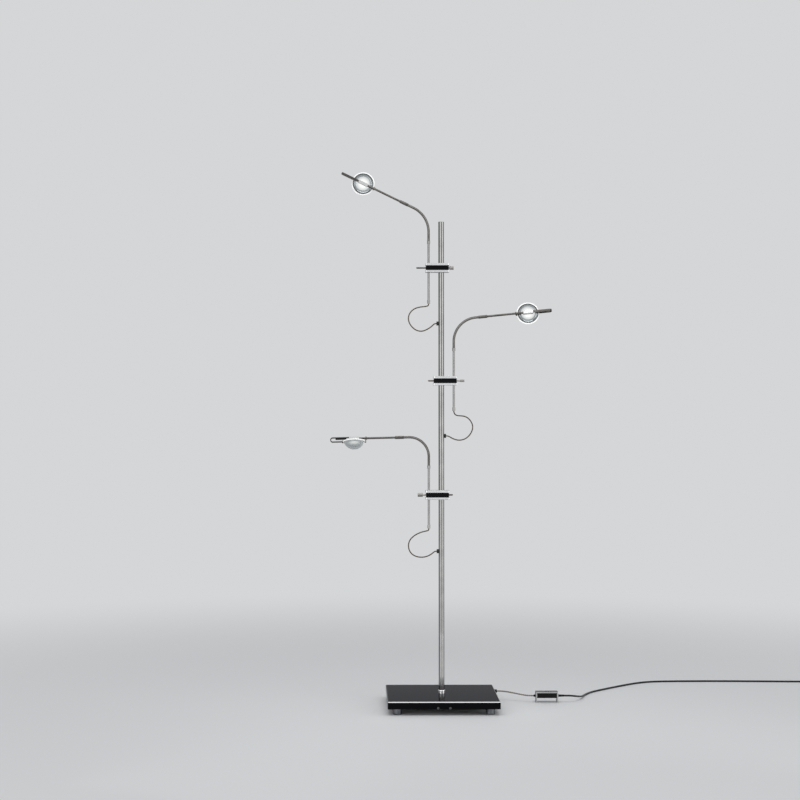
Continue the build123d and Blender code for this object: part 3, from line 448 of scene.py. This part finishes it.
# Plastics and rubbers: name, darkest and lightest colour, range of roughness, scale and height of the grain
satin_black = coated(
    "satin_black", (0.003, 0.003, 0.0035), (0.006, 0.006, 0.007), (0.34, 0.46), 1600.0, 0.1, gloss=0.06,
)
black_plastic = coated(
    "black_plastic", (0.008, 0.008, 0.008), (0.014, 0.014, 0.014), (0.14, 0.26), 1300.0, 0.05, gloss=0.1,
)
button_plastic = coated(
    "button_plastic", (0.02, 0.02, 0.02), (0.032, 0.032, 0.032), (0.24, 0.34), 1300.0, 0.08,
)
bush_plastic = coated("bush_plastic", (0.62, 0.61, 0.58), (0.7, 0.69, 0.66), (0.4, 0.5), 1200.0, 0.08)
black_rubber = coated(
    "black_rubber", (0.01, 0.01, 0.01), (0.018, 0.018, 0.018), (0.5, 0.66), 1800.0, 0.2, gloss=0.3,
)
black_cord = coated(
    "black_cord", (0.008, 0.008, 0.009), (0.014, 0.014, 0.015), (0.38, 0.5), 1500.0, 0.1, gloss=0.3,
)
sheath = coated("cable_sheath", (0.056, 0.037, 0.022), (0.095, 0.064, 0.038), (0.2, 0.32), 1200.0, 0.06)
strand_clear = coated("strand_clear", (0.2, 0.17, 0.135), (0.28, 0.24, 0.19), (0.16, 0.26), 1000.0, 0.06)
strap_black = coated(
    "strap_black", (0.011, 0.011, 0.012), (0.02, 0.02, 0.021), (0.75, 0.9), 2600.0, 0.5, gloss=0.2,
)
# Dark ring on the lens's flat face, just inside its rim
flat_ring_black = coated(
    "flat_ring_black", (0.012, 0.012, 0.012), (0.02, 0.02, 0.02), (0.3, 0.4), 1500.0, 0.05, gloss=0.2,
)
# near-black for the dark hexagons on the front screws: painted shade for their sockets
socket_shade_black = coated(
    "socket_shade_black", (0.01, 0.01, 0.01), (0.016, 0.016, 0.016), (0.5, 0.6), 1500.0, 0.1, gloss=0.2,
)

ground_glass = rim_glass()
black_gloss = black_mirror()
plug_black = plug_plastic()
lens_glass = clear_glass()
led_glow = lit_chip()

NODE_MATERIALS = {
    "base_plate": black_gloss, "base_feet": grey_metal, "base_fasteners": screw_steel,
    "base_gland": black_rubber, "pole": nickel_upright, "pole_cap": nickel_turned,
    "pole_collar": plate_metal, "cable_grommets": black_rubber, "driver_shell": box_metal,
    "driver_core": black_plastic, "driver_button": button_plastic, "mains_plug": plug_black,
}
ARM_MATERIALS = {
    "pole_bush": bush_plastic, "clamp_core": satin_black, "clamp_plates": plate_metal,
    "thumbscrew": nickel_turned, "lock_screw": nickel_level, "cable_gland": nickel_turned,
    "head_bar": nickel_level, "head_grip": black_plastic, "led_module": led_metal,
}
for arm_name in ARMS:
    for piece_name, material in ARM_MATERIALS.items():
        NODE_MATERIALS[f"{arm_name}_{piece_name}"] = material
for node_name, material in NODE_MATERIALS.items():
    NODES[node_name].data.materials.clear()
    NODES[node_name].data.materials.append(material)


# Mesh helpers


def add_mesh(name, points, faces, material, smooth=True):
    """A mesh piece from its points, in metres, and its faces."""
    mesh = bpy.data.meshes.new(name)
    mesh.from_pydata([tuple(point) for point in points], [], faces)
    mesh.validate()
    mesh.update()
    for polygon in mesh.polygons:
        polygon.use_smooth = smooth
    mesh.materials.append(material)
    piece = bpy.data.objects.new(name, mesh)
    bpy.context.collection.objects.link(piece)
    return piece


def skin(name, points, sides, material, sharp=LATHE_SHARP):
    """A closed piece over rings of points, with edges sharp above an angle."""
    faces = []
    for a in range(len(points) - sides):
        b = a + 1 if (a + 1) % sides else a + 1 - sides
        faces.append((a, b, b + sides, a + sides))
    faces.append(tuple(reversed(range(sides))))
    faces.append(tuple(range(len(points) - sides, len(points))))
    piece = add_mesh(name, points, faces, material)
    piece.data.set_sharp_from_angle(angle=math.radians(sharp))
    return piece


def lathe(name, base, axis, profile, material, sides=LATHE_SIDES):
    """A turned piece: a profile of radius and height, in millimetres, about an axis from a base point."""
    axis = Vector(axis).normalized()
    across = axis.orthogonal().normalized()
    other = axis.cross(across)
    points = []
    for radius, height in profile:
        centre = Vector(base) + axis * height * MM
        for k in range(sides):
            angle = 2 * math.pi * k / sides
            points.append(centre + (across * math.cos(angle) + other * math.sin(angle)) * radius * MM)
    return skin(name, points, sides, material)


def heading_at(line, k):
    """The direction of a line of points at one of them."""
    return (line[min(k + 1, len(line) - 1)] - line[max(k - 1, 0)]).normalized()


def tube(name, line, radii, material, sides=TUBE_SIDES):
    """A tube along a line of points, in metres, with a radius at each point; the ends are closed."""
    headings = [heading_at(line, k) for k in range(len(line))]
    across = headings[0].orthogonal().normalized()
    points = []
    for k, centre in enumerate(line):
        if k:
            across = headings[k - 1].rotation_difference(headings[k]) @ across
        across = (across - headings[k] * across.dot(headings[k])).normalized()
        other = headings[k].cross(across)
        for j in range(sides):
            angle = 2 * math.pi * j / sides
            points.append(centre + (across * math.cos(angle) + other * math.sin(angle)) * radii[k])
    return skin(name, points, sides, material, TUBE_SHARP)


def spline(name, route, steps, radius=0.0):
    """A smooth cord line: a NURBS curve with the route's points, in millimetres, as its control points."""
    data = bpy.data.curves.new(name, "CURVE")
    data.dimensions = "3D"
    data.resolution_u = steps
    line = data.splines.new("NURBS")
    line.points.add(len(route) - 1)
    for point, place in zip(line.points, route):
        point.co = (place[0] * MM, place[1] * MM, place[2] * MM, 1)
    line.order_u = SPLINE_ORDER
    line.use_endpoint_u = True
    data.bevel_depth = radius * MM
    data.bevel_resolution = MAINS_ROUNDNESS
    data.use_fill_caps = True
    piece = bpy.data.objects.new(name, data)
    bpy.context.collection.objects.link(piece)
    return piece


def spline_points(route, steps):
    """The points of a route's smooth line, in metres."""
    guide = spline("guide", route, steps)
    bpy.context.view_layer.update()
    mesh = bpy.data.meshes.new_from_object(guide.evaluated_get(bpy.context.evaluated_depsgraph_get()))
    points = [vertex.co.copy() for vertex in mesh.vertices]
    curve = guide.data
    bpy.data.objects.remove(guide)
    bpy.data.curves.remove(curve)
    bpy.data.meshes.remove(mesh)
    return points


def length_of(points):
    """The length of a line of points."""
    return sum((b - a).length for a, b in zip(points, points[1:]))


# Arms


def neck_at(arm, along):
    """Place, in metres, and heading of a gooseneck's middle line, at a length along it."""
    bend = min(max(along - arm["first"], 0), math.radians(arm["turn"]) * arm["radius"])
    turn = bend / arm["radius"]
    last = max(along - arm["first"] - bend, 0)
    out = arm["radius"] * (1 - math.cos(turn)) + last * math.sin(turn)
    up = min(along, arm["first"]) + arm["radius"] * math.sin(turn) + last * math.cos(turn)
    place = Vector((arm["side"] * (ARM_OFFSET + out), 0, arm["tube_bottom"] + TUBE_LENGTH + up)) * MM
    return place, Vector((arm["side"] * math.sin(turn), 0, math.cos(turn)))


def dress_tube(name, arm):
    """The arm tube with the ferrule at its top."""
    tube_base = Vector((arm["side"] * ARM_OFFSET, 0, arm["tube_bottom"])) * MM
    ferrule_bottom = TUBE_LENGTH - LOW_FERRULE_LENGTH / 2
    ferrule_top = TUBE_LENGTH + LOW_FERRULE_LENGTH / 2
    piece = lathe(
        f"{name}_arm_tube_turned", tube_base, (0, 0, 1),
        [
            (TUBE_RADIUS - FINE_EDGE, 0), (TUBE_RADIUS, FINE_EDGE), (TUBE_RADIUS, ferrule_bottom),
            (FERRULE_RADIUS - EDGE, ferrule_bottom), (FERRULE_RADIUS, ferrule_bottom + EDGE),
            (FERRULE_RADIUS, ferrule_top - EDGE), (FERRULE_RADIUS - EDGE, ferrule_top),
            (SPIGOT_BORE, ferrule_top),
        ],
        nickel_upright,
    )
    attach(piece, f"{name}_arm")
    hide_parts(f"{name}_arm_tube")


def dress_neck(name, arm):
    """The ribbed gooseneck, in pieces, and the ferrule at its end."""
    cuts = [LOW_FERRULE_LENGTH / 2 - NECK_OVERLAP]
    for k in range(1, NECK_PIECES):
        cuts.append(k * NECK_LENGTH / NECK_PIECES)
    cuts.append(NECK_LENGTH + NECK_OVERLAP)
    nodes = [f"{name}_neck_lower", f"{name}_neck_upper", f"{name}_neck_tip"]
    for k in range(NECK_PIECES):
        count = round((cuts[k + 1] - cuts[k]) / RIB_PITCH * RIB_STEPS)
        line = []
        radii = []
        for j in range(count + 1):
            along = cuts[k] + (cuts[k + 1] - cuts[k]) * j / count
            line.append(neck_at(arm, along)[0])
            wave = abs(math.sin(math.pi * along / RIB_PITCH))
            radii.append((NECK_RADIUS - RIB_DEPTH * (1 - wave) ** 2) * MM)
        piece = tube(f"{name}_gooseneck_{k + 1}", line, radii, neck_metal)
        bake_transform(piece)
        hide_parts(nodes[k])

    neck_end, heading = neck_at(arm, NECK_LENGTH)
    groove_radius = FERRULE_RADIUS - FERRULE_GROOVE
    ferrule = lathe(
        f"{name}_upper_ferrule", neck_end, heading,
        [
            (NECK_RADIUS - EDGE, 0), (FERRULE_RADIUS - EDGE, 0), (FERRULE_RADIUS, EDGE),
            (FERRULE_RADIUS, GROOVE_PLACE), (groove_radius, GROOVE_PLACE + FERRULE_GROOVE),
            (groove_radius, GROOVE_PLACE + GROOVE_WIDTH - FERRULE_GROOVE),
            (FERRULE_RADIUS, GROOVE_PLACE + GROOVE_WIDTH), (FERRULE_RADIUS, HIGH_FERRULE_LENGTH - EDGE),
            (FERRULE_RADIUS - EDGE, HIGH_FERRULE_LENGTH), (SPIGOT_BORE, HIGH_FERRULE_LENGTH),
            (SPIGOT_BORE, HIGH_FERRULE_LENGTH - SPIGOT_DEPTH),
        ],
        nickel_level,
    )
    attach(ferrule, f"{name}_link_3")


def dress_lens(name, arm):
    """The domed lens, with its ground rim, the dark ring on its flat face and the lit diode behind it."""
    neck_end, heading = neck_at(arm, NECK_LENGTH)
    up = Vector((-arm["side"] * heading.z, 0, abs(heading.x)))
    roll = math.radians(arm["roll"])
    look = Vector((0, 1, 0)) * math.cos(roll) + up * math.sin(roll)
    centre = neck_end + heading * (HIGH_FERRULE_LENGTH + LENS_ALONG) * MM
    sphere = (DOME_RADIUS**2 + DOME_HEIGHT**2) / (2 * DOME_HEIGHT)
    rim_top = LENS_SEAT + LENS_RIM
    crown = rim_top + DOME_HEIGHT
    full = math.acos((sphere - DOME_HEIGHT) / sphere)
    flat = []
    for k in range(FLAT_STEPS + 1):
        flat.append((FLAT_INNER + (FLAT_RING_INNER - FLAT_INNER) * k / FLAT_STEPS, LENS_SEAT))
    rim = [
        (DOME_RADIUS, LENS_SEAT), (LENS_RADIUS - FINE_EDGE, LENS_SEAT), (LENS_RADIUS, LENS_SEAT + FINE_EDGE),
        (LENS_RADIUS, rim_top - FINE_EDGE), (LENS_RADIUS - FINE_EDGE, rim_top),
    ]
    dome = []
    for k in range(DOME_STEPS):
        angle = full * (1 - k / DOME_STEPS)
        dome.append((sphere * math.sin(angle), crown - sphere * (1 - math.cos(angle))))
    lens = lathe(f"{name}_lens_glass", centre, look, flat + rim + dome, lens_glass, LENS_SIDES)
    # a dark ring on the flat face, just inside the rim
    lens.data.materials.append(flat_ring_black)
    flat_ring_slot = len(lens.data.materials) - 1
    lens.data.materials.append(ground_glass)
    ground_slot = len(lens.data.materials) - 1
    flat_ring_row = len(flat) - 1
    ground_rows = range(len(flat), len(flat) + len(rim))
    for number, polygon in enumerate(lens.data.polygons):
        row = number // LENS_SIDES
        if row == flat_ring_row:
            polygon.material_index = flat_ring_slot
        elif row in ground_rows:
            polygon.material_index = ground_slot
    # the glow attribute sets the lens's painted glow, strongest at the middle of the flat face
    glow = lens.data.attributes.new("glow", "FLOAT", "POINT")
    for number, value in enumerate(glow.data):
        row = number // LENS_SIDES
        if row < len(flat):
            value.value = max(1 - (flat[row][0] / arm["glow_reach"]) ** 2, 0)
        elif row >= len(flat) + len(rim):
            value.value = DOME_GLOW
    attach(lens, f"{name}_head")
    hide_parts(f"{name}_lens")

    chip_top = LENS_SEAT - CHIP_GAP
    chip = lathe(
        f"{name}_led_chip", centre, look,
        [
            (CHIP_RADIUS, chip_top - CHIP_THICK), (CHIP_RADIUS, chip_top - CHIP_THICK / 4),
            (CHIP_RADIUS - CHIP_EDGE, chip_top),
        ],
        led_glow, CHIP_SIDES,
    )
    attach(chip, f"{name}_head")


def dress_cable(name, arm):
    """The loop of cable from the arm tube to the pole, in pieces."""
    leave = [(ARM_OFFSET, -GLAND_REACH), (ARM_OFFSET, -GLAND_REACH - CABLE_EXIT)]
    arrive = [(GROMMET_REACH + CABLE_ENTRY, -arm["grommet_drop"]), (GROMMET_REACH, -arm["grommet_drop"])]
    steps = leave + arm["cable"] + arrive
    route = [(arm["side"] * out, 0, arm["tube_bottom"] + up) for out, up in reversed(steps)]
    line = spline_points(route, CABLE_STEPS)
    total = length_of(line)
    cuts = [0]
    travelled = 0.0
    for k in range(1, len(line)):
        travelled += (line[k] - line[k - 1]).length
        if len(cuts) < CABLE_RUNS and travelled >= total * len(cuts) / CABLE_RUNS:
            cuts.append(k)
    cuts.append(len(line) - 1)
    for k in range(CABLE_RUNS):
        points = line[cuts[k]:cuts[k + 1] + 1]
        radii = [CABLE_RADIUS * MM] * len(points)
        piece = tube(f"{name}_cable_run_{k + 1}", points, radii, sheath, CABLE_SIDES)
        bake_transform(piece)
        if k == 0:
            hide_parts(f"{name}_cable")


for arm_name, arm_values in ARMS.items():
    dress_tube(arm_name, arm_values)
    dress_neck(arm_name, arm_values)
    dress_lens(arm_name, arm_values)
    dress_cable(arm_name, arm_values)


# Base


def dress_screws():
    """Dark hexagons set into the two front screws' faces and standing just proud of them: painted shade for
    their sockets.
    """
    profile = [(HEX_RADIUS, -HEX_DEPTH), (HEX_RADIUS, HEX_EDGE_START), (HEX_RADIUS - HEX_EDGE, HEX_FRONT)]
    for number, x in enumerate((-SCREW_SPACING / 2, SCREW_SPACING / 2)):
        face = Vector((x, SCREW_FACE, SCREW_HEIGHT)) * MM
        socket = lathe(
            f"front_screw_socket_shade_{number + 1}", face, (0, -1, 0), profile, socket_shade_black, HEX_SIDES,
        )
        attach(socket, "stand")


dress_screws()


# Cords


def dress_supply():
    """The low-voltage cord: two clear strands twisted together."""
    line = spline_points(SUPPLY_ROUTE, SUPPLY_STEPS)
    offset = (SUPPLY_RADIUS - STRAND_RADIUS) * MM
    strand_lines = [[], []]
    travelled = 0.0
    across = Vector((0, 0, 1))
    for k, centre in enumerate(line):
        heading = heading_at(line, k)
        across = (across - heading * across.dot(heading)).normalized()
        if k:
            travelled += (centre - line[k - 1]).length
        turn = Matrix.Rotation(2 * math.pi * travelled / MM / STRAND_LAY, 3, heading)
        for strand, sign in zip(strand_lines, (1, -1)):
            strand.append(centre + (turn @ across) * offset * sign)
    pieces = []
    for strand in strand_lines:
        radii = [STRAND_RADIUS * MM] * len(strand)
        pieces.append(tube("supply_strand", strand, radii, strand_clear, STRAND_SIDES))
    cord = pieces[0]
    cord.name = "supply_twisted_pair"
    with bpy.context.temp_override(active_object=cord, selected_editable_objects=pieces):
        bpy.ops.object.join()
    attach(cord, "stand")
    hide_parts("supply_cord")


def coil_points():
    """Control points of the coil: half turns that spiral in, climb and spiral out on top."""
    points = []
    x, y, z = COIL_X, COIL_Y, MAINS_RADIUS
    heading = 1
    radius = COIL_OUTER
    for half_turn in range(HALF_TURNS_IN + 1 + HALF_TURNS_OUT):
        rise = COIL_STEP if half_turn == HALF_TURNS_IN else 0
        reach = radius / math.cos(math.pi / COIL_POINTS / 2)
        for k in range(COIL_POINTS):
            share = (k + 0.5) / COIL_POINTS
            angle = math.pi * share
            points.append((
                x + heading * reach * math.sin(angle),
                y + heading * (radius - reach * math.cos(angle)),
                z + rise * share,
            ))
        y += heading * 2 * radius
        z += rise
        heading = -heading
        radius += COIL_STEP / 2 if half_turn >= HALF_TURNS_IN else -COIL_STEP / 2
    points.append((x + COIL_TAIL / 3, y, z))
    points.append((x + COIL_TAIL, y, z))
    return points


def dress_tie():
    """The strap round the coil's turns: once round them, with its tail over its start."""
    half = COIL_STEP / 2
    middle = Vector((COIL_X - COIL_OUTER + COIL_STEP, COIL_Y + COIL_OUTER, MAINS_RADIUS + half))
    low = TIE_THICK - half
    corners = [(half, half), (half, low), (-half, low), (-half, half)]
    stations = [(-half, half, 0, 0)]
    for number, (x, z) in enumerate(corners):
        last = number == len(corners) - 1
        for step in range(TIE_STEPS + 1):
            share = step / TIE_STEPS
            stations.append((x, z, number + share, share if last else 0))
    for step in range(TIE_STEPS):
        stations.append((half, half, step / TIE_STEPS, 1))
    points = []
    for x, z, quarters, lift in stations:
        turn = math.pi / 2 * quarters
        out = Vector((math.sin(turn), 0, math.cos(turn)))
        inner = MAINS_RADIUS + lift * (TIE_THICK + TIE_GAP)
        outer = inner + TIE_THICK
        for depth, side in ((inner, 1), (outer, 1), (outer, -1), (inner, -1)):
            place = middle + Vector((x, side * TIE_WIDTH / 2, z)) + out * depth
            points.append(place * MM)
    tie = skin("coil_tie", points, STRAP_SIDES, strap_black)
    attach(tie, "stand")
    return tie


def dress_mains():
    """The mains lead from the driver box to its plug, with its coil and the tie round it."""
    route = MAINS_ROUTE + coil_points()
    cord = spline("mains_lead", route, MAINS_STEPS, MAINS_RADIUS)
    cord.data.materials.append(black_cord)
    total = length_of(spline_points(route, MAINS_STEPS))
    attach(cord, "stand")
    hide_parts("mains_cord", "mains_coil")
    dress_tie()


dress_supply()
dress_mains()


# Stage, light and camera

FLOOR_COLOUR = (0.76, 0.77, 0.78)
FLOOR_ROUGHNESS = (0.55, 0.65)
FLOOR_GLOSS = 0.1
FLOOR_REACH = 60.0
FADE_START = 0.8  # of the floor into the background, from the pole
FADE_END = 3.6
WORLD_COLOUR = (0.9, 0.91, 0.93, 1)
WORLD_LIGHT = 0.55
WORLD_SEEN = (0.66, 0.67, 0.68, 1)

# The tall soft boxes draw the pole's two bright lines, and a low one near each carries its line to the foot
TALL_BOXES = [
    {"side": "left", "place": (-0.74, -1.42), "width": 0.7, "power": 1.2},
    {"side": "right", "place": (1.35, -0.86), "width": 0.8, "power": 1.4},
]
TALL_LEVEL = 0.92
TALL_HEIGHT = 1.8
BOX_SPREAD = 70  # degrees
FOOT_NEARNESS = 0.28  # share of the tall box's distance and width
FOOT_LEVEL = 0.1
FOOT_HEIGHT = 0.15
FOOT_POWER = 0.028  # share of the tall box's power
TOP_PLACE = (0.0, -1.3, 3.4)
TOP_TARGET = (0, 0, 0.9)
TOP_SIZE = (3.0, 1.6)
TOP_POWER = 40
OPEN_SPREAD = 180  # degrees


def seen_directly(tree):
    """One for rays from the camera, from a reflection or through glass, and zero for lighting rays."""
    rays = tree.nodes.new("ShaderNodeLightPath")
    value = rays.outputs["Is Camera Ray"]
    for kind in ("Is Glossy Ray", "Is Transmission Ray"):
        either = tree.nodes.new("ShaderNodeMath")
        either.operation = "MAXIMUM"
        tree.links.new(value, either.inputs[0])
        tree.links.new(rays.outputs[kind], either.inputs[1])
        value = either.outputs[0]
    return value


def make_floor():
    """A pale floor that keeps the shadow, and fades into the background with distance."""
    material, shader = new_material("floor_pale", FLOOR_COLOUR)
    tree = material.node_tree
    shader.inputs["Specular IOR Level"].default_value = FLOOR_GLOSS
    vary(material, shader, "Roughness", noise(material, FLOOR_CLOUD, CLOUD_DETAIL), *FLOOR_ROUGHNESS)
    place = tree.nodes.new("ShaderNodeTexCoord")
    distance = tree.nodes.new("ShaderNodeVectorMath")
    distance.operation = "LENGTH"
    tree.links.new(place.outputs["Object"], distance.inputs[0])
    fade = tree.nodes.new("ShaderNodeMapRange")
    fade.interpolation_type = "SMOOTHSTEP"
    fade.inputs["From Min"].default_value = FADE_START
    fade.inputs["From Max"].default_value = FADE_END
    tree.links.new(distance.outputs["Value"], fade.inputs["Value"])
    amount = tree.nodes.new("ShaderNodeMath")
    amount.operation = "MULTIPLY"
    tree.links.new(fade.outputs["Result"], amount.inputs[0])
    tree.links.new(seen_directly(tree), amount.inputs[1])
    backdrop = tree.nodes.new("ShaderNodeEmission")
    backdrop.inputs["Color"].default_value = WORLD_SEEN
    mix = tree.nodes.new("ShaderNodeMixShader")
    tree.links.new(amount.outputs[0], mix.inputs["Fac"])
    tree.links.new(shader.outputs[0], mix.inputs[1])
    tree.links.new(backdrop.outputs[0], mix.inputs[2])
    tree.links.new(mix.outputs[0], tree.nodes["Material Output"].inputs["Surface"])
    corners = [(-1, -1), (1, -1), (1, 1), (-1, 1)]
    points = [(x * FLOOR_REACH, y * FLOOR_REACH, 0) for x, y in corners]
    floor = add_mesh("floor", points, [(0, 1, 2, 3)], material, smooth=False)


def make_world():
    """An even light from all round, and a plain pale background where it is seen."""
    world = bpy.data.worlds.new("studio")
    bpy.context.scene.world = world
    world.use_nodes = True
    tree = world.node_tree
    light = tree.nodes["Background"]
    light.inputs["Color"].default_value = WORLD_COLOUR
    light.inputs["Strength"].default_value = WORLD_LIGHT
    seen = tree.nodes.new("ShaderNodeBackground")
    seen.inputs["Color"].default_value = WORLD_SEEN
    mix = tree.nodes.new("ShaderNodeMixShader")
    tree.links.new(seen_directly(tree), mix.inputs["Fac"])
    tree.links.new(light.outputs[0], mix.inputs[1])
    tree.links.new(seen.outputs[0], mix.inputs[2])
    tree.links.new(mix.outputs[0], tree.nodes["World Output"].inputs["Surface"])


def area_light(name, place, target, size, power, spread):
    """A soft box that the camera doesn't see."""
    data = bpy.data.lights.new(name, "AREA")
    data.shape = "RECTANGLE"
    data.size = size[0]
    data.size_y = size[1]
    data.energy = power
    data.spread = math.radians(spread)
    light = bpy.data.objects.new(name, data)
    light.location = place
    light.rotation_euler = (Vector(target) - Vector(place)).to_track_quat("-Z", "Y").to_euler()
    light.visible_camera = False
    bpy.context.collection.objects.link(light)


def make_lights():
    """The tall soft boxes, the low ones at the pole's foot and the box overhead."""
    for box in TALL_BOXES:
        x, y = box["place"]
        area_light(
            f"{box['side']}_box", (x, y, TALL_LEVEL), (0, 0, TALL_LEVEL),
            (box["width"], TALL_HEIGHT), box["power"], BOX_SPREAD,
        )
        area_light(
            f"{box['side']}_foot_box", (x * FOOT_NEARNESS, y * FOOT_NEARNESS, FOOT_LEVEL), (0, 0, FOOT_LEVEL),
            (box["width"] * FOOT_NEARNESS, FOOT_HEIGHT), box["power"] * FOOT_POWER, BOX_SPREAD,
        )
    area_light("top_box", TOP_PLACE, TOP_TARGET, TOP_SIZE, TOP_POWER, OPEN_SPREAD)


def make_camera():
    """The camera at the photograph's viewing angle."""
    data = bpy.data.cameras.new("photo_camera")
    data.sensor_width = SENSOR
    data.lens = SENSOR * FOCAL_PIXELS / FRAME_SIDE
    data.shift_x = (FRAME_SIDE / 2 - AXIS_PIXEL) / FRAME_SIDE
    camera = bpy.data.objects.new("photo_camera", data)
    camera.location = CAMERA_PLACE
    camera.rotation_euler = (math.pi / 2, math.radians(CAMERA_ROLL), 0)
    bpy.context.collection.objects.link(camera)
    bpy.context.scene.camera = camera


make_floor()
make_world()
make_lights()
make_camera()
bpy.context.scene.view_settings.view_transform = "Standard"
